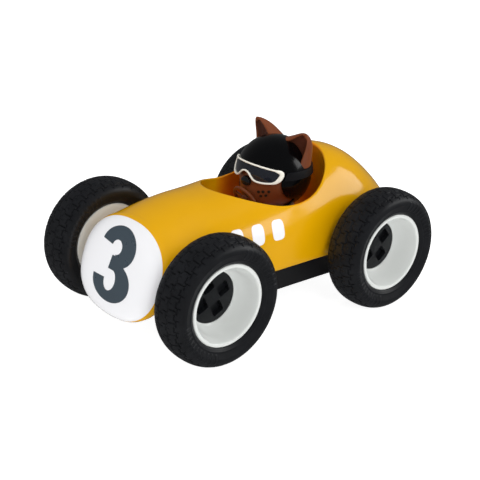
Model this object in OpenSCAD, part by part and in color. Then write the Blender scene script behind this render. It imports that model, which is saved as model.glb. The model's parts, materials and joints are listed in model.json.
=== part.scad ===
// Pull back racing car: two-part body on an axle chassis, clockwork motor, seated animal driver.
// Nose at -Y, +Z up, +X on the driver's left hand.
// Origin: centre of the overall footprint, on the ground the tyres stand on. Millimetres.

/* [Body shell] */
// Half width of the body at its widest, mm
body_half_width = 28.5; // [26:0.1:30]
// Height of the widest line of the body above the ground, mm
waist_z = 31; // [28:0.5:34]
// Height of the joint between body shell and chassis, mm
seam_z = 24; // [20:0.5:26]
// Wall thickness of the moulded body shell, mm
shell_wall = 2; // [1.4:0.1:3]
// Backward lean of the nose panel, mm of travel per mm of height
nose_lean = 0.34; // [0:0.01:0.5]
// Half width of the cockpit opening, mm
cockpit_half_width = 22.6; // [18:0.5:23]
// Distance the cockpit runs forward of its widest point, mm
cockpit_front = 33.5; // [24:1:36]
// Distance the cockpit runs back of its widest point, mm
cockpit_back = 24.5; // [20:0.5:26]

/* [Chassis] */
// Underside of the chassis above the ground, mm
chassis_bottom_z = 14.2; // [12:0.1:17]
// Thickness of the chassis floor, mm
chassis_floor = 1.8; // [1.4:0.1:3]

/* [Wheels] */
// Tyre outer radius, mm
tyre_radius = 27; // [24:0.5:30]
// Tyre width, mm
tyre_width = 18; // [14:0.5:20]
// Distance between the front and rear axles, mm
wheelbase = 92.9; // [80:0.1:105]
// Distance between the tyre centre planes of one axle, mm
track = 79.44; // [76:0.01:84]
// Front axle position along the car, mm
front_axle_y = -53; // [-60:0.1:-45]
// Rim flange radius, mm
rim_radius = 17.3; // [15:0.1:19]
// Axle rod radius, mm
axle_radius = 1.5; // [1:0.1:2.5]

/* [Motor] */
// Gear module of the motor train, mm
gear_module = 0.6; // [0.5:0.05:0.8]
// Teeth on the rear axle pinion and on the small idler gear
pinion_teeth = 10; // [9:1:14]
// Teeth on the large idler gear
idler_teeth = 30; // [24:1:36]
// Teeth on the mainspring gear
spring_teeth = 32; // [28:1:36]
// Half width of the motor case, mm
case_half_width = 9.5; // [8:0.5:12]

/* [Driver] */
// Helmet outer radius, mm
helmet_radius = 16.5; // [14:0.5:18]
// Helmet centre height above the ground, mm
head_z = 56.7; // [52:0.1:60]
// Helmet centre position along the car, mm
head_y = 10.5; // [6:0.1:14]
// Steering wheel radius, mm
wheel_rim_radius = 7.2; // [6:0.1:10]

/* [Hidden] */
$fn = 64;
rear_axle_y = front_axle_y + wheelbase;
axle_z = tyre_radius;
wheel_x = track / 2;
seat_y = 7;
floor_top = chassis_bottom_z + chassis_floor;
well_floor_z = 37;
fit = 0.05;
press_angle = 25;
axle_ys = [front_axle_y, rear_axle_y];
axle_slot = 2.1;
nose_lip = 1.5;
far = 50;

// Body stations from nose to tail: place along Y, rise above the waist, drop below it,
// half width and exponent of the superellipse above the waist
st_y = [-68.5, -48.5, -28.5, -6.5, 13.5, 31.5, 47.5, 61.5, 73.5];
st_up = [20, 24, 25.5, 28.5, 34.5, 35.5, 31, 23.5, 15];
st_dn = [19.5, 18, 17.5, 17.5, 17.5, 17.5, 17, 15, 12];
st_hw = [for (share = [0.95, 0.98, 1, 1, 1, 1, 0.96, 0.86, 0.72]) share * body_half_width];
st_n = [2.25, 2.2, 2.15, 2.1, 2.05, 2, 2, 2, 2];
lower_n = 2.4;
last = len(st_y) - 1;
nose_y = st_y[0];
nose_depth = 6.5;
lean_start_y = 3.5;
lean_length = 70;
tail_start = 40;
tail_len = 40;

function slope(v, i) = i == 0 ? (v[1] - v[0]) / (st_y[1] - st_y[0])
  : i == last ? (v[last] - v[last - 1]) / (st_y[last] - st_y[last - 1])
  : (v[i + 1] - v[i - 1]) / (st_y[i + 1] - st_y[i - 1]);
function seg(y, i = 0) = (i >= last - 1 || y < st_y[i + 1]) ? i : seg(y, i + 1);
function curve(v, y0) = let (y = min(max(y0, st_y[0]), st_y[last]), i = seg(y), h = st_y[i + 1] - st_y[i],
    t = (y - st_y[i]) / h)
  (2 * t * t * t - 3 * t * t + 1) * v[i] + (t * t * t - 2 * t * t + t) * h * slope(v, i)
  + (-2 * t * t * t + 3 * t * t) * v[i + 1] + (t * t * t - t * t) * h * slope(v, i + 1);
function spow(a, e) = sign(a) * pow(abs(a), e);
function lean(y) = nose_lean * min(max((lean_start_y - y) / lean_length, 0), 1);

// One closed section at nominal position y, scaled by c about the waist, pulled in by w
function ring_pts(y, c, w, m) = let (hw = curve(st_hw, y) - w, up = curve(st_up, y) - w,
    dn = curve(st_dn, y) - w, nu = curve(st_n, y))
  [for (j = [0:m - 1]) let (t = 360 * (j + 0.5) / m, n = sin(t) >= 0 ? nu : lower_n,
    z = c * (sin(t) >= 0 ? up : dn) * spow(sin(t), 2 / n))
    [c * hw * spow(cos(t), 2 / n), y + lean(y) * z, waist_z + z]];
function nose_at(c, w) = nose_y - (nose_depth - w) * sqrt(max(0, 1 - pow(c, 5)));

// Back of the nose lip at height z, d behind the first station
function lip_y(z, d) = nose_y + d + nose_lean * (z - waist_z);

// Closed skin over a list of equal rings with a point at each end
module skin(rings, m, p0, p1) {
  nr = len(rings);
  e = nr * m + 1;
  faces = concat(
    [for (j = [0:m - 1]) [0, 1 + (j + 1) % m, 1 + j]],
    [for (i = [0:nr - 2], j = [0:m - 1]) let (a = 1 + i * m + j, b = 1 + i * m + (j + 1) % m)
      [a, b, a + m]],
    [for (i = [0:nr - 2], j = [0:m - 1]) let (a = 1 + i * m + j, b = 1 + i * m + (j + 1) % m)
      [b, b + m, a + m]],
    [for (j = [0:m - 1]) [e, 1 + (nr - 1) * m + j, 1 + (nr - 1) * m + (j + 1) % m]]);
  polyhedron(points = concat([p0], [for (r = rings) each r], [p1]), faces = faces, convexity = 6);
}
// Body volume pulled in by w
module body_loft(w, ny, m) {
  cs = [0.3, 0.55, 0.72, 0.82, 0.89, 0.935, 0.965, 0.985, 0.996];
  tt = concat([for (a = [5:5:75]) a], [80, 85]);
  skin(concat([for (c = cs) ring_pts(nose_at(c, w), c, w, m)],
      [for (i = [0:ny]) ring_pts(nose_y + (tail_start - nose_y) * i / ny, 1, w, m)],
      [for (a = tt) ring_pts(tail_start + (tail_len - w) * sin(a), cos(a), w, m)]),
    m, [0, nose_y - nose_depth + w, waist_z], [0, tail_start + tail_len - w, waist_z]);
}
// Front of the body only, for the part of the chassis that follows the nose
module chin_loft(w, m) {
  ys = [for (y = [nose_y:2:nose_y + 10]) y];
  skin([for (y = ys) ring_pts(y, 1, w, m)], m, [0, nose_y, waist_z], [0, ys[len(ys) - 1], waist_z]);
}

cockpit_front_n = 1.9;
cockpit_back_n = 2.2;
// Cockpit outline seen from above, grown by o
module cockpit_outline(o = 0, k = 72)
  polygon([for (j = [0:k - 1])
    let (t = 360 * j / k, front = sin(t) < 0, n = front ? cockpit_front_n : cockpit_back_n)
    [(cockpit_half_width + o) * spow(cos(t), 2 / n),
     seat_y + ((front ? cockpit_front : cockpit_back) + o) * spow(sin(t), 2 / n)]]);

// Plan outline of the body at the joint, pulled in by w, cut at the nose
function seam_hw(y, c) = let (hw = curve(st_hw, y) * c, dn = curve(st_dn, y) * c, q = (waist_z - seam_z) / dn)
  q >= 1 ? 0 : hw * pow(1 - pow(q, lower_n), 1 / lower_n);
module seam_outline(w, y0) {
  steps = 15;
  tail_angles = [for (a = [6:6:54]) a];
  edge = concat(
    [for (i = [0:steps]) let (y = y0 + (tail_start - y0) * i / steps) [seam_hw(y, 1) - w, y]],
    [for (a = tail_angles) let (y = tail_start + tail_len * sin(a)) [seam_hw(y, cos(a)) - w, y - w]]);
  k = len(edge) - 1;
  polygon(concat(edge, [for (i = [k:-1:0]) [-edge[i][0], edge[i][1]]]));
}

// Helpers
module prism_x(x0, len) translate([x0, 0, 0]) rotate([90, 0, 90]) linear_extrude(len) children();
module rod_x(r, x0, len, y, z) translate([x0, y, z]) rotate([0, 90, 0]) cylinder(r = r, h = len);

// Screw standing on its head, axis up, head underside at z = 0
module screw(len, r = 1.2, hr = 2.3, hh = 1.4) {
  difference() {
    translate([0, 0, -hh]) cylinder(r = hr, h = hh);
    for (a = [0, 90]) rotate([0, 0, a]) translate([-1.5, -0.3, -hh - 0.01]) cube([3, 0.6, 0.8]);
  }
  cylinder(r = r, h = len);
}

base_screw_at = [[17, -33], [-17, -33], [13.5, 60], [-13.5, 60]];
floor_screw_at = [[0, -31.4], [21, 27], [-21, 27]];

// ---------------------------------------------------------------- body shell
module body_shell() color([0.9, 0.65, 0.02]) resize([0, 0, 0]) difference() {
  body_loft(0, 26, 52);
  difference() {
    body_loft(shell_wall, 14, 32);
    translate([0, 0, well_floor_z]) linear_extrude(40) cockpit_outline(shell_wall);
    for (p = base_screw_at) translate([p[0], p[1], seam_z]) cylinder(r = 3.2, h = 30, $fn = 28);
    for (p = floor_screw_at) translate([p[0], p[1], well_floor_z]) cylinder(r = 2.6, h = 26, $fn = 24);
  }
  translate([0, 0, well_floor_z - 1]) linear_extrude(60) cockpit_outline(0);
  prism_x(-far, 2 * far) polygon([[lip_y(seam_z, nose_lip), seam_z], [2 * far, seam_z], [2 * far, -5],
    [lip_y(-5, nose_lip), -5]]);
  for (y = axle_ys) {
    rod_x(axle_slot, -far, 2 * far, y, axle_z);
    translate([-far, y - axle_slot, seam_z - 1]) cube([2 * far, 2 * axle_slot, axle_z - seam_z + 1]);
  }
  for (p = base_screw_at) translate([p[0], p[1], seam_z - 1]) cylinder(r = 1.25, h = 11, $fn = 24);
  for (p = floor_screw_at) translate([p[0], p[1], well_floor_z - 1]) cylinder(r = 1.05, h = 8, $fn = 20);
}

// ---------------------------------------------------------------- chassis
bearing_x = 19;
bearing_width = 5;
bearing_length = 14;
bush_radius = 3;
cap_screw_offset = 5.6;
base_top = seam_z - 0.1;
body_step = 0.5;
chin_gap = nose_lip + 0.2;
mount_x = 12.3;
mount_y = 51.8;
module post_profile(y) difference() {
  translate([y - bearing_length / 2, floor_top - 1]) square([bearing_length, axle_z - floor_top + 1]);
  translate([y, axle_z]) circle(r = bush_radius);
}
// Side profile of the rear slope of the tray, moved inward by o
slope_start_y = 56;
slope_end_y = 84;
module rear_slope(o) prism_x(-far, 2 * far)
  polygon([[slope_start_y - o, 0], [slope_start_y - o, chassis_bottom_z + o], [slope_end_y, seam_z + 1 + o],
    [slope_end_y, 0]]);
module chassis_base() color([0.05, 0.05, 0.06]) difference() {
  union() {
    difference() {
      union() {
        translate([0, 0, chassis_bottom_z + 0.8]) linear_extrude(base_top - chassis_bottom_z - 0.8)
          seam_outline(body_step, nose_y + 6);
        translate([0, 0, chassis_bottom_z]) linear_extrude(2) seam_outline(1.3, nose_y + 6);
        difference() {
          chin_loft(body_step, 28);
          translate([-far, nose_y - 20, base_top]) cube([2 * far, 60, 40]);
          prism_x(-far, 2 * far) polygon([[lip_y(40, chin_gap), 40], [lip_y(0, chin_gap), 0],
            [nose_y - 20, 0],
            [nose_y - 20, 40]]);
        }
      }
      rear_slope(0);
      difference() {
        translate([0, 0, floor_top]) linear_extrude(20) seam_outline(2.5, nose_y + 8);
        rear_slope(chassis_floor);
      }
      translate([-17, nose_y + 1.5, floor_top + 0.8]) cube([34, 9, 20]);
    }
    for (y = axle_ys, s = [-1, 1])
      prism_x(s * bearing_x - bearing_width / 2, bearing_width) post_profile(y);
    for (p = base_screw_at) translate([p[0], p[1], floor_top - 0.5])
      cylinder(r = 3.4, h = base_top - floor_top + 0.5);
    for (s = [-1, 1]) translate([s * mount_x - 2.2, mount_y - 3, floor_top - 1]) cube([4.4, 6, 5]);
  }
  // axle passages through the tray walls
  for (y = axle_ys, s = [-1, 1])
    translate([s > 0 ? 22 : -32, y - axle_slot, axle_z - axle_slot - 1.2]) cube([10, 2 * axle_slot, 10]);
  for (p = base_screw_at) translate([p[0], p[1], 0]) {
    cylinder(r = 1.4, h = 40);
    translate([0, 0, chassis_bottom_z - 5]) cylinder(r = 2.6, h = 7.2);
  }
  for (s = [-1, 1]) translate([s * mount_x, mount_y, 0]) {
    cylinder(r = 1.25, h = 40);
    translate([0, 0, chassis_bottom_z - 5]) cylinder(r = 2.6, h = 6.2);
  }
  for (y = axle_ys, s = [-1, 1], d = [-1, 1])
    translate([s * bearing_x, y + d * cap_screw_offset, axle_z - 4.5]) cylinder(r = 0.85, h = 10);
}

// Saddle cap closing one bearing, seen from the side
module cap_profile(y) difference() {
  union() {
    translate([y - bearing_length / 2, axle_z + 0.1]) square([bearing_length, 2.4]);
    translate([y, axle_z + 0.1]) intersection() {
      circle(r = 5);
      translate([-6, 0]) square([12, 6]);
    }
  }
  translate([y, axle_z]) circle(r = bush_radius);
}
module axle_caps(y) for (s = [-1, 1]) difference() {
  prism_x(s * bearing_x - bearing_width / 2, bearing_width) cap_profile(y);
  for (d = [-1, 1]) translate([s * bearing_x, y + d * cap_screw_offset, axle_z - 1]) cylinder(r = 1, h = 10);
}
module front_caps() color([0.16, 0.16, 0.17]) axle_caps(front_axle_y);
module rear_caps() color([0.16, 0.16, 0.17]) axle_caps(rear_axle_y);
module cap_screws() color([0.7, 0.7, 0.72])
  for (y = axle_ys, s = [-1, 1], d = [-1, 1])
    translate([s * bearing_x, y + d * cap_screw_offset, axle_z + 2.5]) rotate([180, 0, 0])
      screw(6.5, 0.8, 1.3, 0.9);
module bushes(y) for (s = [-1, 1]) difference() {
  union() {
    rod_x(bush_radius - 0.03, s * bearing_x - 2.7, 5.4, y, axle_z);
    rod_x(3.8, s * bearing_x + (s > 0 ? 2.6 : -3.4), 0.8, y, axle_z);
  }
  rod_x(axle_radius + fit, s * bearing_x - 5, 10, y, axle_z);
}
module front_bushes() color([0.72, 0.55, 0.2]) bushes(front_axle_y);
module rear_bushes() color([0.72, 0.55, 0.2]) bushes(rear_axle_y);

// ---------------------------------------------------------------- axles and wheels
axle_end = wheel_x - 4.2;
module front_axle() color([0.75, 0.76, 0.78])
  rod_x(axle_radius, -axle_end, 2 * axle_end, front_axle_y, axle_z);
module rear_axle() color([0.75, 0.76, 0.78]) rod_x(axle_radius, -axle_end, 2 * axle_end, rear_axle_y, axle_z);

// Wheel pieces are turned about +Z with the outer face up, then laid on the axle
module lay(side, y) translate([side * wheel_x, y, axle_z]) rotate([0, side * 90, 0]) children();
seat_r = 16.1;
tyre_square = 2.35;
module tyre_solid() {
  half = tyre_width / 2;
  middle = (tyre_radius + seat_r) / 2 + 0.35;
  rise = tyre_radius - middle;
  steps = 32;
  bead = [[rim_radius + 0.9, 7.35], [rim_radius + 0.05, 6.6], [rim_radius + 0.05, 5.7], [seat_r + 0.03, 5]];
  rotate_extrude($fn = 128) polygon(concat(
    [for (i = [0:steps]) let (t = -90 + 180 * i / steps, e = 2 / tyre_square)
      [middle + rise * spow(cos(t), e), half * spow(sin(t), e)]],
    bead, [for (i = [len(bead) - 1:-1:0]) [bead[i][0], -bead[i][1]]]));
}
hub_face = -3;
// Deep dish with a seat for the tyre and drive notches round the inner edge
module rim_solid() difference() {
  rotate_extrude($fn = 128) polygon([
    [9.4, -7.4], [13.2, -7.4], [14.4, -7], [rim_radius, -7], [rim_radius, -5.8], [seat_r, -5.1],
    [seat_r, 5.1], [rim_radius, 5.8], [rim_radius, 6.7], [rim_radius - 0.4, 7], [16.1, 7],
    [15.7, 6.7], [15.3, 5.2], [14.9, 3.4], [14.3, 1.4], [13.4, -0.6], [12.4, -2], [11.6, -2.8],
    [11.05, hub_face], [11.05, -6.2], [9.4, -6.2]]);
  for (a = [0:30:330]) rotate([0, 0, a]) translate([11.9, -0.6, -8]) cube([1.3, 1.2, 1.4]);
}
hub_window = 5.4;
window_corner = 0.9;
window_ring = 5.9;
window_back = 0.6;
// Square with rounded corners
module window_2d() {
  straight = hub_window - 2 * window_corner;
  square([straight, hub_window], center = true);
  square([hub_window, straight], center = true);
  for (u = [-1, 1], v = [-1, 1]) translate([u, v] * straight / 2) circle(r = window_corner, $fn = 24);
}
// Hub disc with four square recesses and a socket for the axle behind
module hub_solid() difference() {
  union() {
    rotate_extrude($fn = 96) polygon([[0, -6.15], [10.6, -6.15], [11, -5.8], [11, hub_face - 0.35],
      [10.7, hub_face], [0, hub_face]]);
    translate([0, 0, -8.6]) cylinder(r = 3, h = 4);
  }
  translate([0, 0, -9]) cylinder(r = axle_radius, h = 4.8);
  for (k = [0:3]) rotate([0, 0, 90 * k]) translate([window_ring, 0, -6.15 + window_back]) linear_extrude(8)
    window_2d();
}
// side is 1 for the left of the car and -1 for the right
module tyre(side, y) color([0.07, 0.07, 0.075]) lay(side, y) tyre_solid();
module rim(side, y) color([0.93, 0.93, 0.92]) lay(side, y) rim_solid();
module hub(side, y, turn) color([0.12, 0.13, 0.14]) lay(side, y) rotate([0, 0, turn]) hub_solid();

// ---------------------------------------------------------------- motor
function inv_pt(rb, t) = [rb * (cos(t) + t * PI / 180 * sin(t)), rb * (sin(t) - t * PI / 180 * cos(t))];
function rot2(p, a) = [p[0] * cos(a) - p[1] * sin(a), p[0] * sin(a) + p[1] * cos(a)];
// Involute spur gear outline, one tooth centred on the +u axis
module gear2d(z, back = 0.10) {
  m = gear_module;
  rp = m * z / 2;
  rb = rp * cos(press_angle);
  ra = rp + 0.88 * m;
  rf = rp - 1.2 * m;
  ta = sqrt(max(0, pow(ra / rb, 2) - 1)) * 180 / PI;
  t0 = rf > rb ? sqrt(pow(rf / rb, 2) - 1) * 180 / PI : 0;
  inv = tan(press_angle) * 180 / PI - press_angle;
  half = 90 / z - back / (2 * rp) * 180 / PI + inv;
  flank = [for (i = [0:5]) rot2(inv_pt(rb, t0 + (ta - t0) * i / 5), -half)];
  tooth = concat(rf < rb ? [[rf * cos(half), -rf * sin(half)]] : [], flank);
  k = len(tooth) - 1;
  whole = concat(tooth, [for (i = [k:-1:0]) [tooth[i][0], -tooth[i][1]]]);
  polygon([for (g = [0:z - 1]) for (p = whole) rot2(p, 360 * g / z)]);
}
dist1 = gear_module * (pinion_teeth + idler_teeth) / 2;
dist2 = gear_module * (pinion_teeth + spring_teeth) / 2;
// Directions of the two gear centre lines, degrees up from the rearward axis
dir1 = 60;
dir2 = -35;
idler_y = rear_axle_y + dist1 * cos(dir1);
idler_z = axle_z + dist1 * sin(dir1);
spring_y = idler_y + dist2 * cos(dir2);
spring_z = idler_z + dist2 * sin(dir2);

module axle_pinion() color([0.85, 0.84, 0.78]) translate([0, rear_axle_y, axle_z]) difference() {
  union() {
    prism_x(-7, 4) rotate(dir1) gear2d(pinion_teeth);
    rod_x(2.2, -3, 8, 0, 0);
  }
  rod_x(axle_radius, -8, 16, 0, 0);
}
module idler_gear() color([0.85, 0.84, 0.78]) translate([0, idler_y, idler_z]) difference() {
  union() {
    prism_x(-6.5, 3) rotate(dir1 + 180 + 180 / idler_teeth) gear2d(idler_teeth);
    prism_x(-3.5, 5) rotate(dir2) gear2d(pinion_teeth);
  }
  rod_x(1.05, -8, 16, 0, 0);
}
module idler_shaft() color([0.75, 0.76, 0.78]) rod_x(1, -shaft_end, 2 * shaft_end, idler_y, idler_z);
module spring_gear() color([0.85, 0.84, 0.78]) translate([0, spring_y, spring_z]) {
  prism_x(-2.3, 2.8) rotate(dir2 + 180 + 180 / spring_teeth) gear2d(spring_teeth);
  rod_x(1.9, 0.4, 6.4, 0, 0);
  rod_x(1.2, -9.1, 18.2, 0, 0);
}
// Flat spiral mainspring: one strip of constant thickness
spring_t = 0.28;
module mainspring() color([0.55, 0.58, 0.62]) translate([0, spring_y, spring_z]) prism_x(1.1, 5.2) {
  turns = 5.5;
  steps = 132;
  r = [for (i = [0:steps]) 2.5 + 6.3 * pow(i / steps, 1.1)];
  a = [for (i = [0:steps]) 360 * turns * i / steps];
  polygon(concat([for (i = [0:steps]) (r[i] + spring_t / 2) * [cos(a[i]), sin(a[i])]],
    [for (i = [steps:-1:0]) (r[i] - spring_t / 2) * [cos(a[i]), sin(a[i])]]));
}
module case_outline(o) hull() {
  translate([rear_axle_y + 0.6, axle_z - 0.5]) circle(r = 5 + o);
  translate([idler_y, idler_z]) circle(r = 10 + o);
  translate([spring_y, spring_z]) circle(r = 10.6 + o);
}
// Screw posts stand clear of the gears, outside the case outline
function post_at(y, z, reach, angle) = [y + reach * cos(angle), z + reach * sin(angle)];
case_screw_at = [post_at(idler_y, idler_z, 12.4, 135), post_at(spring_y, spring_z, 12.8, 10)];

case_wall = 1.5;
shaft_end = case_half_width - 0.4;
// Half of the motor case between the centre plane and one side, s is 1 or -1
module case_half(s) difference() {
  union() {
    difference() {
      prism_x(s > 0 ? 0.02 : -case_half_width, case_half_width - 0.02) case_outline(case_wall);
      prism_x(s > 0 ? -0.1 : -case_half_width + case_wall, case_half_width - case_wall + 0.1) case_outline(0);
    }
    for (p = case_screw_at) difference() {
      rod_x(2.2, s > 0 ? 0.02 : -case_half_width, case_half_width - 0.02, p[0], p[1]);
      prism_x(-far, 2 * far) case_outline(0);
    }
    translate([s > 0 ? case_half_width - 0.5 : -case_half_width - 5.3, mount_y - 3, floor_top + 4.1])
      cube([5.8, 6, 2]);
  }
  rod_x(axle_radius + fit, -12, 24, rear_axle_y, axle_z);
  rod_x(1, -shaft_end, 2 * shaft_end, idler_y, idler_z);
  rod_x(1.25, -9.2, 18.4, spring_y, spring_z);
  for (p = case_screw_at) rod_x(0.95, -20, 40, p[0], p[1]);
  translate([s * mount_x, mount_y, floor_top + 3]) cylinder(r = 1.35, h = 6);
}
module motor_case_left() color([0.3, 0.32, 0.35]) case_half(1);
module motor_case_right() color([0.3, 0.32, 0.35]) case_half(-1);
module motor_screws() color([0.7, 0.7, 0.72]) for (p = case_screw_at)
  translate([case_half_width, p[0], p[1]]) rotate([0, -90, 0]) screw(15, 0.9, 1.8, 1);
module motor_mount_screws() color([0.7, 0.7, 0.72]) for (x = [-mount_x, mount_x])
  translate([x, mount_y, chassis_bottom_z + 1.2]) screw(7.4, 1.2, 2.3, 1.1);

// ---------------------------------------------------------------- cockpit
module cockpit_floor() color([0.9, 0.65, 0.02]) difference() {
  translate([0, 0, well_floor_z - 2]) linear_extrude(1.9) union() {
    cockpit_outline(shell_wall);
    for (p = floor_screw_at) translate(p) circle(r = 3.2);
  }
  translate([0, head_y, 0]) cylinder(r = 4.1, h = 60);
  for (p = floor_screw_at) translate([p[0], p[1], 0]) cylinder(r = 1.2, h = 60);
}
module floor_screws() color([0.7, 0.7, 0.72]) for (p = floor_screw_at)
  translate([p[0], p[1], well_floor_z - 2]) screw(7, 1, 2, 1.1);
wheel_y = -5.4;
wheel_z = 46.6;
col_tilt = 27;
column_radius = 1.1;
// Column standing on a foot at the front of the cockpit floor
module steering_column() color([0.1, 0.1, 0.1]) {
  difference() {
    translate([0, wheel_y, wheel_z]) rotate([col_tilt, 0, 0]) translate([0, -16.5, 0])
      rotate([-90, 0, 0]) cylinder(r = column_radius, h = 16.4);
    translate([-5, -40, 20]) cube([10, 18.2, 40]);
  }
  translate([-3, -22.5, well_floor_z - 0.08]) cube([6, 3, 6.5]);
}
module steering_wheel() color([0.32, 0.15, 0.08]) translate([0, wheel_y, wheel_z])
  rotate([col_tilt - 90, 0, 0]) difference() {
    union() {
      rotate_extrude($fn = 72) translate([wheel_rim_radius - 0.75, 0]) circle(r = 0.75, $fn = 20);
      translate([0, 0, -1.1]) cylinder(r = 2.2, h = 1.6);
      for (a = [90, 210, 330]) rotate([0, 0, a]) translate([0, -0.8, -0.4])
        cube([wheel_rim_radius - 1, 1.6, 0.8]);
    }
    translate([0, 0, -2]) cylinder(r = column_radius, h = 1.9);
  }

// ---------------------------------------------------------------- driver
skull_radius = helmet_radius - 1.1;
muzzle_at = [0, -5.6, -4.6];
muzzle_radius = 10.6;
module at_head() translate([0, head_y, head_z]) children();
module driver_torso() color([0.75, 0.72, 0.65]) translate([0, head_y, 0]) {
  difference() {
    translate([0, 0, well_floor_z - 0.1]) cylinder(r1 = 13, r2 = 9, h = 5.6);
    translate([0, 0, well_floor_z - 3]) cylinder(r = 1.05, h = 7.5);
  }
  translate([0, 0, well_floor_z - 1.95]) difference() {
    cylinder(r = 4, h = 2);
    translate([0, 0, -1]) cylinder(r = 1.05, h = 4);
  }
}
module driver_screw() color([0.7, 0.7, 0.72]) translate([0, head_y, well_floor_z - 2]) screw(6, 1, 5.4, 1.1);
module driver_head() color([0.42, 0.17, 0.09]) difference() {
  union() {
    at_head() sphere(r = skull_radius, $fn = 96);
    at_head() translate(muzzle_at) sphere(r = muzzle_radius, $fn = 96);
  }
  translate([0, head_y, 20]) cylinder(r = 9.3, h = 22.65);
}
helmet_bottom = -13.8;
face_half_width = 14.2;
module helmet() color([0.03, 0.03, 0.035]) at_head() difference() {
  sphere(r = helmet_radius, $fn = 96);
  sphere(r = helmet_radius - 1, $fn = 96);
  translate([0, 0, -30]) cylinder(r = 20, h = 30 + helmet_bottom);
  rotate([90, 0, 0]) linear_extrude(30) translate([-face_half_width, -30]) square([2 * face_half_width, 35]);
}
// Rounded band outline of the goggles in the face plane
module goggle_outline(o) offset(r = 1.2) offset(delta = -1.2 + o) difference() {
  polygon([[-15, 5.2], [-14.6, 1], [-12.5, -0.5], [12.5, -0.5], [14.6, 1], [15, 5.2], [8, 6.9], [0, 7.3],
    [-8, 6.9]]);
  translate([0, -1.4]) circle(r = 4.7);
}
module band(r0, r1) difference() { sphere(r = r1, $fn = 96); sphere(r = r0, $fn = 96); }
module goggle_frame() color([0.93, 0.88, 0.75]) at_head() intersection() {
  band(helmet_radius + 0.05, helmet_radius + 1.3);
  rotate([90, 0, 0]) linear_extrude(30) difference() { goggle_outline(0.2); goggle_outline(-0.75); }
}
module goggle_lens() color([0.08, 0.09, 0.11]) at_head() intersection() {
  band(helmet_radius + 0.05, helmet_radius + 0.7);
  rotate([90, 0, 0]) linear_extrude(30) goggle_outline(-0.8);
}
module goggle_strap() color([0.04, 0.04, 0.045]) at_head() difference() {
  band(helmet_radius + 0.05, helmet_radius + 0.7);
  translate([-30, -30, -30]) cube([60, 60, 31.2]);
  translate([-30, -30, 4.6]) cube([60, 60, 60]);
  rotate([90, 0, 0]) linear_extrude(30) translate([-15.3, -20]) square([30.6, 40]);
}
module driver_nose() color([0.02, 0.02, 0.02]) at_head() difference() {
  translate([0, -16, -1.1]) sphere(r = 2.6, $fn = 48);
  sphere(r = skull_radius + fit, $fn = 96);
  translate(muzzle_at) sphere(r = muzzle_radius + fit, $fn = 96);
}
// Ear: a cupped cone rising from the helmet
module ear_shape() difference() {
  hull() {
    translate([16.1, 2.2, 19.4]) sphere(r = 0.9, $fn = 16);
    translate([8.6, 3.2, 10.4]) rotate([0, 42, 0]) scale([8.6, 4.6, 1]) cylinder(r = 1, h = 1.5, $fn = 32);
  }
  hull() {
    translate([14.4, -1.6, 16.6]) sphere(r = 0.6, $fn = 12);
    translate([9.4, -2.6, 11.2]) rotate([0, 42, 0]) scale([5.8, 3.2, 1]) cylinder(r = 1, h = 1.5, $fn = 24);
  }
  sphere(r = helmet_radius + 0.04, $fn = 64);
}
module ear_left() color([0.42, 0.17, 0.09]) at_head() ear_shape();
module ear_right() color([0.42, 0.17, 0.09]) at_head() mirror([1, 0, 0]) ear_shape();

module base_screws() color([0.7, 0.7, 0.72]) for (p = base_screw_at)
  translate([p[0], p[1], chassis_bottom_z + 2.2]) screw(16);

body_shell();
chassis_base();
cockpit_floor();
floor_screws();
base_screws();
front_caps();
rear_caps();
cap_screws();
front_bushes();
rear_bushes();
front_axle();
rear_axle();
tyre(-1, front_axle_y);  // tyre_front_right
tyre(1, front_axle_y);  // tyre_front_left
tyre(-1, rear_axle_y);  // tyre_rear_right
tyre(1, rear_axle_y);  // tyre_rear_left
rim(-1, front_axle_y);  // rim_front_right
rim(1, front_axle_y);  // rim_front_left
rim(-1, rear_axle_y);  // rim_rear_right
rim(1, rear_axle_y);  // rim_rear_left
hub(-1, front_axle_y, 10);  // hub_front_right
hub(1, front_axle_y, 25);  // hub_front_left
hub(-1, rear_axle_y, 40);  // hub_rear_right
hub(1, rear_axle_y, 37);  // hub_rear_left
motor_case_left();
motor_case_right();
motor_screws();
motor_mount_screws();
axle_pinion();
idler_gear();
idler_shaft();
spring_gear();
mainspring();
steering_column();
steering_wheel();
driver_torso();
driver_screw();
driver_head();
helmet();
ear_right();
ear_left();
driver_nose();
goggle_frame();
goggle_lens();
goggle_strap();
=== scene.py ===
"""Looks for the pull back racing car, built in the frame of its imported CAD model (metres)."""
import bpy
import bmesh
import json
import math
from mathutils import Matrix, Vector


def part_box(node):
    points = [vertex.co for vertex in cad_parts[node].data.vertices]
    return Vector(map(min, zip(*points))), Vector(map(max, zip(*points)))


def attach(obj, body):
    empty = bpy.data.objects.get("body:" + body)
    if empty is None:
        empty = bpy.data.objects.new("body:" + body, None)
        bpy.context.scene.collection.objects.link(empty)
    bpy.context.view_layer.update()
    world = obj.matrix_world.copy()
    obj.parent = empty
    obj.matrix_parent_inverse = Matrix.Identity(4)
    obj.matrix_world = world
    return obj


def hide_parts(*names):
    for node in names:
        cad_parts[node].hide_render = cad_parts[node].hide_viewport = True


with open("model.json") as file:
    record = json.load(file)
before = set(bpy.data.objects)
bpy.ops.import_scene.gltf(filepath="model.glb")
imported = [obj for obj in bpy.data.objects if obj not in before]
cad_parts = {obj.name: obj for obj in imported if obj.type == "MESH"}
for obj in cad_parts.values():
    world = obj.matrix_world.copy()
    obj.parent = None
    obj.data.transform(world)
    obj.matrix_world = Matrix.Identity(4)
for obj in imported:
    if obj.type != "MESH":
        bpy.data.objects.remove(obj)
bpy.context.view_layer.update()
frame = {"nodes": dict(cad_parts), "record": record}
MM = 0.001

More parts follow.
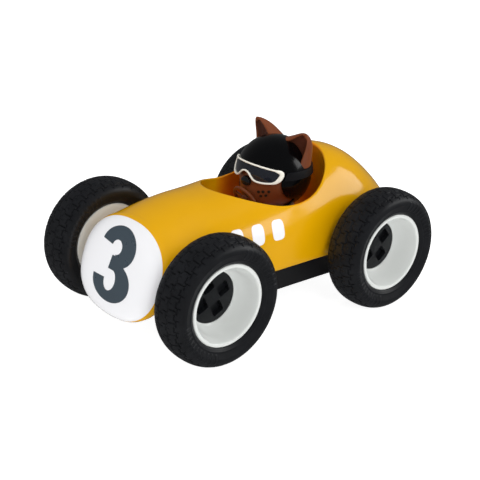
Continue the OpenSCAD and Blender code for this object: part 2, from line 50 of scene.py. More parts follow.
# ------------------------------------------------------------------ body form, in millimetres
WAIST_Z = 31.0
SEAM_Z = 24.0
WALL = 2.0
STATION_Y = (-68.5, -48.5, -28.5, -6.5, 13.5, 31.5, 47.5, 61.5, 73.5)
STATION_UP = (20.0, 24.0, 25.5, 28.5, 34.5, 35.5, 31.0, 23.5, 15.0)
STATION_DOWN = (19.5, 18.0, 17.5, 17.5, 17.5, 17.5, 17.0, 15.0, 12.0)
BODY_HALF = 28.5
STATION_HALF = tuple(BODY_HALF * k for k in (0.95, 0.98, 1, 1, 1, 1, 0.96, 0.86, 0.72))
STATION_N = (2.25, 2.2, 2.15, 2.1, 2.05, 2.0, 2.0, 2.0, 2.0)
LOWER_N = 2.4
NOSE_Y = STATION_Y[0]
NOSE_DEPTH = 6.5
NOSE_LEAN = 0.34
NOSE_LIP = 1.5
LEAN_START_Y = 3.5
LEAN_LENGTH = 70.0
TAIL_START = 40.0
TAIL_LEN = 40.0
SEAT_Y = 7.0
COCKPIT_HALF = 22.6
COCKPIT_FRONT = 33.5
COCKPIT_BACK = 24.5
COCKPIT_FRONT_N = 1.9
COCKPIT_BACK_N = 2.2
WELL_FLOOR = 37.0
LIP_R = 0.9
AXLE_SLOT = 2.1
PANEL_EDGE = 0.965
FAR = 100.0

WHEEL_SIDES = ("front_left", "front_right", "rear_left", "rear_right")
HEAD = Vector((0, 10.5, 56.7))
HELMET_R = 16.5
SKULL_R = HELMET_R - 1.1
MUZZLE = Vector((0, -5.6, -4.6))
MUZZLE_R = 10.6
FACE_BLEND = 0.9
NECK_R = 9.3
NECK_BOTTOM = 20.0
NECK_TOP = 42.65
POLE_WELD = 1e-7


def spow(a, e):
    """Power that keeps the sign, for superellipses."""
    return math.copysign(abs(a) ** e, a)


def slope(values, i):
    """Slope of a station list at station i."""
    if i == 0:
        return (values[1] - values[0]) / (STATION_Y[1] - STATION_Y[0])
    if i == len(values) - 1:
        return (values[-1] - values[-2]) / (STATION_Y[-1] - STATION_Y[-2])
    return (values[i + 1] - values[i - 1]) / (STATION_Y[i + 1] - STATION_Y[i - 1])


def curve(values, y):
    """Smooth value at y through the stations, held level past both ends."""
    y = min(max(y, STATION_Y[0]), STATION_Y[-1])
    i = 0
    while i < len(STATION_Y) - 2 and y >= STATION_Y[i + 1]:
        i += 1
    h = STATION_Y[i + 1] - STATION_Y[i]
    t = (y - STATION_Y[i]) / h
    return ((2 * t**3 - 3 * t**2 + 1) * values[i] + (t**3 - 2 * t**2 + t) * h * slope(values, i)
            + (3 * t**2 - 2 * t**3) * values[i + 1] + (t**3 - t**2) * h * slope(values, i + 1))


def lean(y):
    """Forward lean of a section, growing from the seat to the nose."""
    return NOSE_LEAN * min(max((LEAN_START_Y - y) / LEAN_LENGTH, 0), 1)


def nose_at(c, inset=0.0):
    """Nominal y of the domed nose at share c of its full size."""
    return NOSE_Y - (NOSE_DEPTH - inset) * math.sqrt(max(0.0, 1 - c**5))


def section_point(y, c, inset, t):
    """Point of the body section at nominal y, scaled by c about the waist, at angle t."""
    up, down = curve(STATION_UP, y) - inset, curve(STATION_DOWN, y) - inset
    half = curve(STATION_HALF, y) - inset
    s = math.sin(t)
    n = curve(STATION_N, y) if s >= 0 else LOWER_N
    z = c * (up if s >= 0 else down) * spow(s, 2 / n)
    return Vector((c * half * spow(math.cos(t), 2 / n), y + lean(y) * z, WAIST_Z + z))


def top_point(x, y):
    """Point of the upper body skin above the plan position (x, y)."""
    nominal = y
    z = 0.0
    for _ in range(12):
        up, half, n = curve(STATION_UP, nominal), curve(STATION_HALF, nominal), curve(STATION_N, nominal)
        c = 1.0
        if nominal > TAIL_START:
            c = math.sqrt(max(0.0, 1 - ((nominal - TAIL_START) / TAIL_LEN) ** 2))
        z = up * c * max(0.0, 1 - abs(x / (half * c)) ** n) ** (1 / n)
        nominal = y - lean(nominal) * z
    return Vector((x, y, WAIST_Z + z))


def side_point(y, z, sign):
    """Point of the side skin at height z, at nominal position y."""
    up, half, n = curve(STATION_UP, y), curve(STATION_HALF, y), curve(STATION_N, y)
    rise = z - WAIST_Z
    x = half * (1 - abs(rise / up) ** n) ** (1 / n)
    return Vector((sign * x, y + lean(y) * rise, z))


def nose_point(x, rise):
    """Point of the nose panel at x and height rise above the waist."""
    size = STATION_UP[0] if rise > 0 else STATION_DOWN[0]
    n = STATION_N[0] if rise > 0 else LOWER_N
    c = ((abs(x) / STATION_HALF[0]) ** n + (abs(rise) / size) ** n) ** (1 / n)
    return Vector((x, nose_at(min(c, 1.0)) + NOSE_LEAN * rise, WAIST_Z + rise))


def cockpit_point(t, grow):
    """Plan position on the cockpit opening at angle t, grown outward in mm."""
    n, length = (COCKPIT_BACK_N, COCKPIT_BACK) if math.sin(t) >= 0 else (COCKPIT_FRONT_N, COCKPIT_FRONT)
    return ((COCKPIT_HALF + grow) * spow(math.cos(t), 2 / n),
            SEAT_Y + (length + grow) * spow(math.sin(t), 2 / n))


# ------------------------------------------------------------------ mesh helpers
def turns(count, offset=0.0):
    """Angles of a full turn in equal steps."""
    return [2 * math.pi * (i + offset) / count for i in range(count)]


def new_object(name, verts, faces, smooth=True):
    """Object from points in millimetres."""
    mesh = bpy.data.meshes.new(name)
    mesh.from_pydata([tuple(Vector(v) * MM) for v in verts], [], faces)
    mesh.validate()
    mesh.update()
    obj = bpy.data.objects.new(name, mesh)
    bpy.context.scene.collection.objects.link(obj)
    if smooth:
        mesh.polygons.foreach_set("use_smooth", [True] * len(mesh.polygons))
    return obj


def grid(rows, closed_u=False, closed_v=False):
    """Faces and points of a grid given as equal rows of points."""
    n, m = len(rows), len(rows[0])
    verts = [p for row in rows for p in row]
    faces = []
    for i in range(n if closed_u else n - 1):
        for j in range(m if closed_v else m - 1):
            a, b = i * m + j, i * m + (j + 1) % m
            c, d = ((i + 1) % n) * m + (j + 1) % m, ((i + 1) % n) * m + j
            faces.append((a, b, c, d))
    return verts, faces


def recalc(obj, weld=0.0):
    """Turns every face outward, after joining points closer than the weld distance."""
    bm = bmesh.new()
    bm.from_mesh(obj.data)
    if weld:
        bmesh.ops.remove_doubles(bm, verts=bm.verts, dist=weld)
    bmesh.ops.recalc_face_normals(bm, faces=bm.faces)
    bm.to_mesh(obj.data)
    bm.free()
    return obj


def capped_skin(name, rings, first, last):
    """Closed skin over rings of points with a point at each end."""
    m = len(rings[0])
    verts, faces = grid(rings, closed_v=True)
    verts = verts + [first, last]
    top, end = len(verts) - 2, len(verts) - 1
    base = (len(rings) - 1) * m
    faces += [(top, (j + 1) % m, j) for j in range(m)]
    faces += [(end, base + j, base + (j + 1) % m) for j in range(m)]
    return recalc(new_object(name, verts, faces))


def prism(name, outline, lo, hi, axis="z"):
    """Straight prism of a closed outline, along z or x."""
    rows = []
    for h in (lo, hi):
        rows.append([(p[0], p[1], h) if axis == "z" else (h, p[0], p[1]) for p in outline])
    verts, faces = grid(rows, closed_v=True)
    m = len(outline)
    faces += [tuple(range(m)), tuple(range(2 * m - 1, m - 1, -1))]
    return recalc(new_object(name, verts, faces, smooth=False))


def cut(target, cutter):
    """Cuts one closed mesh out of another and deletes the cutter."""
    mod = target.modifiers.new("cut", "BOOLEAN")
    mod.object = cutter
    mod.operation = "DIFFERENCE"
    mod.solver = "MANIFOLD"
    bpy.context.view_layer.update()
    evaluated = target.evaluated_get(bpy.context.evaluated_depsgraph_get())
    made = bpy.data.meshes.new_from_object(evaluated)
    target.modifiers.clear()
    target.data = made
    bpy.data.objects.remove(cutter)
    return target


def lathe(name, profile, steps):
    """Turns a closed (radius, height) profile about +Z."""
    rows = [[(r * math.cos(a), r * math.sin(a), h) for r, h in profile] for a in turns(steps)]
    verts, faces = grid(rows, closed_u=True, closed_v=True)
    return recalc(new_object(name, verts, faces))


def sharpen(obj, degrees=35):
    """Smooth shading that keeps edges above this angle crisp."""
    obj.data.polygons.foreach_set("use_smooth", [True] * len(obj.data.polygons))
    obj.data.set_sharp_from_angle(angle=math.radians(degrees))
    return obj


def bevel(obj, width, angle=40, segments=2):
    """Small rounded edges, as a modifier with its width in mm."""
    mod = obj.modifiers.new("edge", "BEVEL")
    mod.width = width * MM
    mod.segments = segments
    mod.limit_method = "ANGLE"
    mod.angle_limit = math.radians(angle)
    mod.harden_normals = False
    return obj


def finish_piece(obj, body, slot, material, *nodes):
    """Gives a piece its material and body, and hides the CAD nodes it stands in for. The slot argument is
    not used.
    """
    obj.data.materials.clear()
    obj.data.materials.append(material)
    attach(obj, body)
    if nodes:
        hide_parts(*nodes)
    return obj


# ------------------------------------------------------------------ materials
class Nodes:
    """Small builder for one material's node tree."""

    def __init__(self, name, rough=0.4, specular=0.5, coat=0.0, coat_rough=0.03, metallic=0.0):
        self.material = bpy.data.materials.new(name)
        self.material.use_nodes = True
        self.tree = self.material.node_tree
        self.shader = self.tree.nodes["Principled BSDF"]
        self.shader.inputs["Roughness"].default_value = rough
        self.shader.inputs["Specular IOR Level"].default_value = specular
        self.shader.inputs["Coat Weight"].default_value = coat
        self.shader.inputs["Coat Roughness"].default_value = coat_rough
        self.shader.inputs["Metallic"].default_value = metallic
        self.place = self.tree.nodes.new("ShaderNodeTexCoord").outputs["Object"]

    def link(self, a, b):
        self.tree.links.new(a, b)
        return b

    def noise(self, scale, detail=3.0, rough=0.55, stretch=None):
        node = self.tree.nodes.new("ShaderNodeTexNoise")
        node.inputs["Scale"].default_value = scale
        node.inputs["Detail"].default_value = detail
        node.inputs["Roughness"].default_value = rough
        source = self.place
        if stretch:
            mapping = self.tree.nodes.new("ShaderNodeMapping")
            mapping.inputs["Scale"].default_value = stretch
            self.link(self.place, mapping.inputs["Vector"])
            source = mapping.outputs["Vector"]
        self.link(source, node.inputs["Vector"])
        return node.outputs["Fac"]

    def remap(self, value, a, b, c, d):
        node = self.tree.nodes.new("ShaderNodeMapRange")
        for key, v in (("From Min", a), ("From Max", b), ("To Min", c), ("To Max", d)):
            node.inputs[key].default_value = v
        self.link(value, node.inputs["Value"])
        return node.outputs["Result"]

    def math(self, op, a, b=None):
        node = self.tree.nodes.new("ShaderNodeMath")
        node.operation = op
        for i, v in enumerate((a, b)):
            if v is None:
                continue
            if isinstance(v, (int, float)):
                node.inputs[i].default_value = v
            else:
                self.link(v, node.inputs[i])
        return node.outputs[0]

    def mix(self, fac, a, b):
        node = self.tree.nodes.new("ShaderNodeMix")
        node.data_type = "RGBA"
        sockets = [s for s in node.inputs if s.enabled or s.type == "RGBA"]
        colours = [s for s in node.inputs if s.type == "RGBA"]
        factor = sockets[0]
        if isinstance(fac, (int, float)):
            factor.default_value = fac
        else:
            self.link(fac, factor)
        for s, v in zip(colours, (a, b)):
            if isinstance(v, tuple):
                s.default_value = (*v, 1.0)
            else:
                self.link(v, s)
        return [o for o in node.outputs if o.type == "RGBA"][0]

    def axes(self):
        node = self.tree.nodes.new("ShaderNodeSeparateXYZ")
        self.link(self.place, node.inputs[0])
        return node.outputs["X"], node.outputs["Y"], node.outputs["Z"]

    def edges(self, radius_mm, low=0.02, high=0.25):
        """1 along convex edges, 0 elsewhere."""
        wide = self.tree.nodes.new("ShaderNodeBevel")
        wide.samples = 4
        wide.inputs["Radius"].default_value = radius_mm * MM
        geometry = self.tree.nodes.new("ShaderNodeNewGeometry")
        dot = self.tree.nodes.new("ShaderNodeVectorMath")
        dot.operation = "DOT_PRODUCT"
        self.link(wide.outputs[0], dot.inputs[0])
        self.link(geometry.outputs["Normal"], dot.inputs[1])
        away = self.math("SUBTRACT", 1.0, dot.outputs["Value"])
        return self.remap(away, low, high, 0.0, 1.0)

    def colour(self, value):
        self.link(value, self.shader.inputs["Base Color"])
        return self

    def roughness(self, value):
        self.link(value, self.shader.inputs["Roughness"])
        return self

    def bump(self, height, distance_mm, strength=1.0):
        node = self.tree.nodes.new("ShaderNodeBump")
        node.inputs["Distance"].default_value = distance_mm * MM
        node.inputs["Strength"].default_value = strength
        self.link(height, node.inputs["Height"])
        self.link(node.outputs["Normal"], self.shader.inputs["Normal"])
        return self


def plastic(name, base, rough, spread=0.06, coat=0.0, coat_rough=0.03, bump_mm=0.004, grain=900, edge=0.12,
            specular=0.5):
    """Moulded plastic: faint cloudy colour, uneven gloss, fine moulding grain and rubbed edges."""
    n = Nodes(name, rough, specular, coat, coat_rough)
    cloud = n.noise(45, 4)
    dark = tuple(v * (1 - spread) for v in base)
    light = tuple(min(1.0, v * (1 + spread)) for v in base)
    shade = n.mix(n.remap(cloud, 0.3, 0.7, 0.0, 1.0), dark, light)
    edge_tint = tuple(min(1.0, v + edge * (0.6 + 0.4 * v)) for v in base)
    wear = n.math("MULTIPLY", n.edges(0.35), n.remap(n.noise(260, 5), 0.45, 0.7, 0.0, 0.45))
    n.colour(n.mix(wear, shade, edge_tint))
    n.roughness(n.remap(n.noise(120, 5), 0.3, 0.7, rough * 0.85, rough * 1.2))
    n.bump(n.noise(grain, 2), bump_mm, 0.6)
    return n.material


def metal(name, base, rough, streak=(1, 1, 1)):
    """Bare metal with fine drawn streaks in colour, gloss and height."""
    n = Nodes(name, rough, metallic=1.0)
    grain = n.noise(700, 4, stretch=streak)
    n.colour(n.mix(grain, tuple(v * 0.82 for v in base), tuple(min(1, v * 1.12) for v in base)))
    n.roughness(n.remap(grain, 0.3, 0.7, rough * 0.7, rough * 1.4))
    n.bump(grain, 0.004, 0.5)
    return n.material


YELLOW = (0.74, 0.372, 0.0)
PANEL_WHITE = (0.87, 0.87, 0.89)
# amber painted on the cockpit walls as the shade and bounce light inside the well
COCKPIT_PAINTED_SHADE = (0.78, 0.20, 0.004)
PRINT_SOFT = 0.00004


def body_paint():
    """Deep yellow gloss with painted shade on the cockpit walls (an amber that stands in for the shade and
    warm bounce light in the well), and the white nose panel printed over the front.
    """
    n = Nodes("body_yellow_gloss", 0.16, 0.42, coat=0.25, coat_rough=0.03)
    x, y, z = n.axes()
    cloud = n.noise(28, 3)
    yellow = n.mix(n.remap(cloud, 0.3, 0.7, 0.0, 1.0), tuple(v * 0.965 for v in YELLOW),
                   (YELLOW[0] * 1.02, YELLOW[1] * 1.03, 0.001))
    mottle = n.mix(n.noise(60, 3), tuple(v * 0.98 for v in PANEL_WHITE), PANEL_WHITE)
    across = n.math("DIVIDE", x, COCKPIT_HALF * MM)
    behind = n.math("DIVIDE", n.math("SUBTRACT", y, SEAT_Y * MM), COCKPIT_BACK * MM)
    squares = n.math("ADD", n.math("MULTIPLY", across, across), n.math("MULTIPLY", behind, behind))
    away = n.math("SQRT", squares)
    # painted shade: the walls of the cockpit well turn amber to stand in for the shade and warm bounce light
    # there
    yellow = n.mix(n.remap(away, 1.0, 1.05, 1.0, 0.0), yellow, COCKPIT_PAINTED_SHADE)
    edge = (nose_at(PANEL_EDGE) - NOSE_LEAN * WAIST_Z) * MM
    along = n.math("SUBTRACT", y, n.math("MULTIPLY", z, NOSE_LEAN))
    printed = n.remap(along, edge + PRINT_SOFT, edge - PRINT_SOFT, 0.0, 1.0)
    n.colour(n.mix(printed, yellow, mottle))
    n.roughness(n.remap(n.noise(90, 5), 0.3, 0.7, 0.12, 0.2))
    n.bump(n.noise(160, 2), 0.006, 0.35)
    return n.material


def tyre_rubber():
    """Soft black rubber with dust in patches, lighter block and rib edges that are partly wear and partly a
    painted highlight, and a duller crown.
    """
    n = Nodes("tyre_rubber", 0.5, 0.34)
    x, y, _ = n.axes()
    radius = n.math("SQRT", n.math("ADD", n.math("MULTIPLY", y, y), n.math("MULTIPLY", x, x)))
    dust = n.math("MULTIPLY", n.remap(n.noise(140, 5), 0.42, 0.75, 0.0, 1.0), 0.35)
    shade = n.mix(n.noise(60, 4), (0.0052, 0.0056, 0.0068), (0.0085, 0.0092, 0.0110))
    # lighter convex edges: partly wear, partly a painted highlight that makes the tread and rib relief show
    edge_tint = n.math("MULTIPLY", n.edges(0.4), 0.35)
    n.colour(n.mix(n.math("MAXIMUM", dust, edge_tint), shade, (0.017, 0.018, 0.021)))
    crown = n.remap(radius, 0.0245, 0.0268, 0.0, 1.0)
    gloss = n.remap(n.noise(220, 5), 0.3, 0.7, 0.34, 0.48)
    n.roughness(n.math("ADD", gloss, n.math("MULTIPLY", crown, 0.08)))
    n.bump(n.noise(1500, 3), 0.02, 0.5)
    return n.material


def fur_plastic():
    """Brown moulded figure plastic with a faint brushed variation."""
    n = Nodes("figure_brown", 0.36, 0.35, coat=0.1, coat_rough=0.12)
    streak = n.noise(90, 4, stretch=(1, 1, 2.5))
    base = n.mix(streak, (0.150, 0.040, 0.015), (0.205, 0.058, 0.021))
    wear = n.math("MULTIPLY", n.edges(0.4), 0.5)
    n.colour(n.mix(wear, base, (0.30, 0.115, 0.055)))
    n.roughness(n.remap(n.noise(300, 4), 0.3, 0.7, 0.28, 0.42))
    n.bump(n.noise(700, 3), 0.012, 0.5)
    return n.material


MAT = {
    "body_yellow": body_paint(),
    "chassis_black": plastic("chassis_black", (0.007, 0.007, 0.008), 0.42, 0.2, edge=0.03, bump_mm=0.02,
                             grain=1400),
    "fitting_grey": plastic("fitting_black", (0.03, 0.03, 0.032), 0.42, 0.1, edge=0.03),
    "screw_zinc": metal("screw_zinc", (0.58, 0.59, 0.62), 0.28),
    "bush_brass": metal("bush_brass", (0.66, 0.45, 0.17), 0.3),
    "axle_steel": metal("axle_steel", (0.6, 0.61, 0.63), 0.2, (1, 30, 30)),
    "tyre_rubber": tyre_rubber(),
    "rim_white": plastic("rim_white", (0.70, 0.72, 0.70), 0.2, 0.015, coat=0.3, edge=0.05, bump_mm=0.003),
    "hub_grey": plastic("hub_grey", (0.008, 0.009, 0.0105), 0.4, 0.12, edge=0.02, bump_mm=0.008,
                        specular=0.35),
    "motor_case_grey": plastic("motor_case_grey", (0.11, 0.12, 0.14), 0.45, 0.08, edge=0.05),
    "gear_nylon": plastic("gear_nylon", (0.70, 0.68, 0.60), 0.4, 0.04),
    "spring_steel": metal("spring_steel", (0.30, 0.33, 0.38), 0.3, (8, 1, 1)),
    "wheel_brown": plastic("wheel_brown", (0.15, 0.042, 0.015), 0.35, 0.1, coat=0.05, edge=0.04),
    "torso_cream": plastic("torso_cream", (0.52, 0.47, 0.38), 0.5, 0.05),
    "fur_brown": fur_plastic(),
    "helmet_black": plastic("helmet_black", (0.0009, 0.0010, 0.0014), 0.2, 0.2, coat=0.1, coat_rough=0.05,
                            edge=0.01, bump_mm=0.003, specular=0.28),
    "nose_black": plastic("nose_black", (0.006, 0.006, 0.007), 0.2, 0.2, coat=0.3, edge=0.01),
    "goggle_cream": plastic("goggle_cream", (0.90, 0.87, 0.78), 0.25, 0.03, coat=0.2, edge=0.04),
    "lens_dark": plastic("lens_dark", (0.012, 0.014, 0.020), 0.08, 0.15, coat=0.5, edge=0.0, bump_mm=0.002),
    "strap_rubber": plastic("strap_rubber", (0.005, 0.005, 0.006), 0.45, 0.15, edge=0.01, specular=0.25),
}
INK = plastic("print_slate", (0.045, 0.062, 0.078), 0.3, 0.05, edge=0.0, bump_mm=0.002)
PRINT_WHITE = plastic("print_white", (0.88, 0.88, 0.90), 0.22, 0.012, edge=0.0, bump_mm=0.002)
EAR_INNER = plastic("ear_inner", (0.080, 0.022, 0.011), 0.4, 0.2, edge=0.03, bump_mm=0.01)
WHISKER = plastic("whisker_ink", (0.012, 0.008, 0.006), 0.35, 0.1, edge=0.0)


# ------------------------------------------------------------------ body shell
def loft_rings(inset, around, fine):
    """Rings of the body skin from the nose panel to the tail, with the points at both ends."""
    caps = [i / (12 * fine) for i in range(1, 12 * fine)] + [1 - 0.5 * 0.35**k for k in range(3, 6)]
    caps = sorted(set(round(c, 5) for c in caps if c < 0.9995))
    rings = [(nose_at(c, inset), c) for c in caps]
    count = 60 * fine
    rings += [(NOSE_Y + (TAIL_START - NOSE_Y) * i / count, 1.0) for i in range(count)]
    tail = 36 * fine
    for i in range(tail):
        a = math.radians(88) * i / (tail - 1)
        rings.append((TAIL_START + (TAIL_LEN - inset) * math.sin(a), math.cos(a)))
    rows = [[section_point(y, c, inset, t) for t in turns(around, 0.5)] for y, c in rings]
    first = Vector((0, NOSE_Y - NOSE_DEPTH + inset, WAIST_Z))
    last = Vector((0, TAIL_START + TAIL_LEN - inset, WAIST_Z))
    return rows, first, last


def lip_y(z, ahead):
    """Where the leaning back edge of the nose underside crosses height z."""
    return NOSE_Y + ahead + NOSE_LEAN * (z - WAIST_Z)


def axle_slot(axle):
    """Outline of the slot that lets the body drop over an axle."""
    lo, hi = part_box(axle)
    y, z = (lo.y + hi.y) / 2 / MM, (lo.z + hi.z) / 2 / MM
    arc = [math.pi * i / 16 for i in range(17)]
    round_top = [(y + AXLE_SLOT * math.cos(a), z + AXLE_SLOT * math.sin(a)) for a in arc]
    return round_top + [(y - AXLE_SLOT, SEAM_Z - 1), (y + AXLE_SLOT, SEAM_Z - 1)]


def body_shell():
    """Hollow shell with an open cockpit well, open below, slotted over both axles."""
    shell = capped_skin("body_shell_skin", *loft_rings(0.0, 176, 2))
    core = capped_skin("core", *loft_rings(WALL, 64, 1))
    ring = turns(240, 0.5)
    cut(core, prism("well_wall", [cockpit_point(t, WALL) for t in ring], WELL_FLOOR, FAR))
    cut(shell, core)
    cut(shell, prism("well", [cockpit_point(t, LIP_R) for t in ring], WELL_FLOOR - 1, FAR))
    under = [(lip_y(SEAM_Z, NOSE_LIP), SEAM_Z), (FAR, SEAM_Z), (FAR, -5), (lip_y(-5, NOSE_LIP), -5)]
    cut(shell, prism("under", under, -FAR, FAR, axis="x"))
    for axle in ("front_axle", "rear_axle"):
        cut(shell, prism("axle_slot", axle_slot(axle), -FAR, FAR, axis="x"))
    sharpen(shell, 32)
    return finish_piece(shell, "chassis", "body_yellow", MAT["body_yellow"], "body_shell")


def cockpit_lip():
    """Rounded edge of the cockpit opening and the wall that drops from it to the floor."""
    rows = []
    for t in turns(420, 0.5):
        outer = top_point(*cockpit_point(t, LIP_R))
        far = top_point(*cockpit_point(t, LIP_R + 1.4))
        wall_x, wall_y = cockpit_point(t, 0.0)
        inward = Vector((wall_x, wall_y, 0)) - Vector((outer.x, outer.y, 0))
        inward.normalize()
        along = (outer - far).normalized()
        up = (Vector((0, 0, 1)) - along * along.z).normalized()
        row = [far - up * 0.004, (far + outer) / 2 + up * 0.008, outer + up * 0.010]
        # the round edge turns from the skin's own slope to straight down
        start = math.atan2(along.z, along.dot(inward))
        total = start + math.pi / 2
        arc = [start - total * k / 8 for k in range(1, 9)]
        step = LIP_R / sum(math.cos(a) for a in arc)
        p = row[-1]
        for a in arc:
            p = p + inward * (math.cos(a) * step) + Vector((0, 0, math.sin(a) * step))
            row.append(p)
        row.append(Vector((wall_x, wall_y, WELL_FLOOR)))
        back_x, back_y = cockpit_point(t, 1.0)
        row.append(Vector((back_x, back_y, WELL_FLOOR)))
        row.append(Vector((back_x, back_y, min(row[3].z, outer.z) - 1.6)))
        rows.append(row)
    verts, faces = grid(rows, closed_u=True, closed_v=True)
    lip = sharpen(recalc(new_object("cockpit_lip", verts, faces)), 50)
    return finish_piece(lip, "chassis", "body_yellow", MAT["body_yellow"])


def rounded_patch(name, point, middle, half, corner, lift):
    """Thin print laid on a skin: point(u, v) gives the skin, the outline is a rounded rectangle."""
    n = 2 * max(half) / corner
    eps = 0.05
    rings = 26
    rows = []
    for i in range(rings + 1):
        share = i / rings
        row = []
        for t in turns(4 * rings):
            u = middle[0] + share * half[0] * spow(math.cos(t), 2 / n)
            v = middle[1] + share * half[1] * spow(math.sin(t), 2 / n)
            p = point(u, v)
            row.append((p, (point(u + eps, v) - p).cross(point(u, v + eps) - p).normalized()))
        rows.append(row)
    centre, normal = rows[0][0]
    out = 1.0 if normal.dot(centre - Vector((0, centre.y, WAIST_Z))) > 0 else -1.0
    verts, faces = grid([[p + n_ * out * lift for p, n_ in row] for row in rows], closed_v=True)
    return recalc(new_object(name, verts, faces))


VENT_FIRST_Y = -10.5
VENT_PITCH = 11.5
VENT_Z = 42.2
VENT_HALF = (3.4, 4.0)


def vents():
    """Three white rounded panels printed on each side."""
    for sign, side in ((1, "left"), (-1, "right")):
        for k in range(3):
            middle = (VENT_FIRST_Y - VENT_PITCH * k, VENT_Z)
            name = f"side_print_{side}_{k}"
            patch = rounded_patch(name, lambda u, v: side_point(u, v, sign), middle, VENT_HALF, 2.2, 0.035)
            finish_piece(patch, "chassis", "rim_white", PRINT_WHITE)


def digit_bow(name, centre, outer, inner_centre, inner, start, stop, lift):
    """One bow of the digit: the band between two ellipses, from one angle to another."""
    rows = []
    steps, across = 96, 8
    for i in range(steps + 1):
        t = math.radians(start + (stop - start) * i / steps)
        row = []
        for j in range(across + 1):
            k = j / across
            ox, oz = centre[0] + outer[0] * math.cos(t), centre[1] + outer[1] * math.sin(t)
            ix, iz = inner_centre[0] + inner[0] * math.cos(t), inner_centre[1] + inner[1] * math.sin(t)
            p = nose_point(ox + (ix - ox) * k, oz + (iz - oz) * k)
            row.append(p + Vector((0, -lift, lift * NOSE_LEAN)))
        rows.append(row)
    verts, faces = grid(rows)
    return recalc(new_object(name, verts, faces))


def race_digit():
    """A plain 3 made of two elliptical bows and a short middle bar."""
    upper = digit_bow("digit_upper", (-0.4, 9.0), (11.0, 7.9), (-1.2, 8.8), (3.2, 2.9), 174, -86, 0.05)
    lower = digit_bow("digit_lower", (0.6, -4.4), (12.1, 7.9), (-0.4, -4.1), (3.6, 4.1), 86, -181, 0.04)
    corners = ((-2.6, 5.4), (3.5, 5.6), (3.5, -0.1), (-3.2, -0.1))
    rows = []
    for i in range(9):
        k = i / 8
        row = []
        for j in range(9):
            m = j / 8
            top = [corners[0][a] + (corners[1][a] - corners[0][a]) * m for a in (0, 1)]
            low = [corners[3][a] + (corners[2][a] - corners[3][a]) * m for a in (0, 1)]
            p = nose_point(top[0] + (low[0] - top[0]) * k, top[1] + (low[1] - top[1]) * k)
            row.append(p + Vector((0, -0.06, 0.02)))
        rows.append(row)
    verts, faces = grid(rows)
    bar = recalc(new_object("digit_bar", verts, faces))
    for piece in (upper, lower, bar):
        finish_piece(piece, "chassis", "hub_grey", INK)


# ------------------------------------------------------------------ wheels
TYRE_R = 27.0
TYRE_HALF = 9.0
SEAT_R = 16.1
RIM_R = 17.3
TYRE_MID = (TYRE_R + SEAT_R) / 2 + 0.35
TYRE_RISE = TYRE_R - TYRE_MID
CROWN = 0.9
RIB_RISE = 0.22
SIDE_HALF = TYRE_HALF - RIB_RISE
TYRE_SQUARE = 2.35
TREAD_CUT = 0.62
PITCHES = 32
RIB_TURN = -40
BEAD_R = 18.9


def tyre_profile(t):
    """Radius and half width of the plain tyre skin at section angle t."""
    e = 2 / TYRE_SQUARE
    return TYRE_MID + TYRE_RISE * spow(math.cos(t), e), SIDE_HALF * spow(math.sin(t), e)


def groove(distance, width, soft):
    """1 within width of a line, falling to 0 over the soft distance."""
    return max(0.0, min(1.0, (width - abs(distance)) / soft + 0.5))


def tread_depth(pitch, w):
    """How deep the tread is cut, 0 to 1, at a place in pitches round the tyre and width w from -1 to 1."""
    side = 1 if w > 0 else -1
    step = 0.05 if (pitch * 2 + 0.25 * side) % 2 < 1 else -0.05
    inner = groove(abs(w) - 0.30 - step, 0.028, 0.03)
    outer = groove(abs(w) - 0.80 - step, 0.028, 0.03)
    band = 0 if abs(w) < 0.30 + step else 1 if abs(w) < 0.80 + step else 2
    shift = (0.0, 0.27, 0.52)[band] + 0.13 * side
    across = groove((pitch + shift) % 1.0 - 0.5, 0.045, 0.03)
    notch = 0.55 * groove((pitch + shift + 0.5) % 1.0 - 0.5, 0.03, 0.03) if abs(abs(w) - 0.42) < 0.1 else 0.0
    return max(inner, outer, across, notch)


def tyre_section():
    """Section of the tyre as (radius, height, outward radius share, outward height share)."""
    edge = math.asin(CROWN ** (TYRE_SQUARE / 2))
    n_side, n_crown, n_cone = 22, 64, 14
    angles = [-math.pi / 2 + (math.pi / 2 - edge) * i / n_side for i in range(n_side)]
    angles += [-edge + 2 * edge * i / n_crown for i in range(n_crown)]
    angles += [edge + (math.pi / 2 - edge) * i / n_side for i in range(n_side + 1)]
    skin = [(*tyre_profile(t), math.cos(t), math.sin(t)) for t in angles]
    cone = []
    for i in range(1, n_cone + 1):
        k = i / n_cone
        cone.append((TYRE_MID + (RIM_R + 0.9 - TYRE_MID) * k, SIDE_HALF + (7.35 - SIDE_HALF) * k, 1.0))
    seat = [(RIM_R + 0.25, 6.85), (RIM_R + 0.05, 6.4), (RIM_R + 0.05, 5.7), (SEAT_R + 0.03, 5.0)]
    inside = cone + [(r, h, 0.0) for r, h in seat]
    outer_face = [(r, h, 0.0, nh) for r, h, nh in inside]
    inner_face = [(r, -h, 0.0, -nh) for r, h, nh in reversed(inside)]
    return skin + outer_face + inner_face


def tyre_mesh():
    """Moulded tyre with a cut block tread, sidewall ribs and a bead ring."""
    steps = 1080
    section = tyre_section()
    rows = []
    for i, a in enumerate(turns(steps)):
        row = []
        for r, h, nr, nh in section:
            w = h / SIDE_HALF / CROWN
            rise = 0.0
            if nr > 0.2 and abs(w) <= 1.0:
                rise = -TREAD_CUT * min(1.0, (1.0 - abs(w)) / 0.05) * tread_depth(i * PITCHES / steps, w)
            elif abs(nh) > 0.5:
                rise = RIB_RISE * sidewall_rib(a, r) + 0.2 * groove(r - BEAD_R, 0.25, 0.3)
            out = min(r + nr * rise, TYRE_R)
            row.append((out * math.cos(a), out * math.sin(a), h + nh * rise))
        rows.append(row)
    verts, faces = grid(rows, closed_u=True, closed_v=True)
    return recalc(new_object("tyre_form", verts, faces)).data


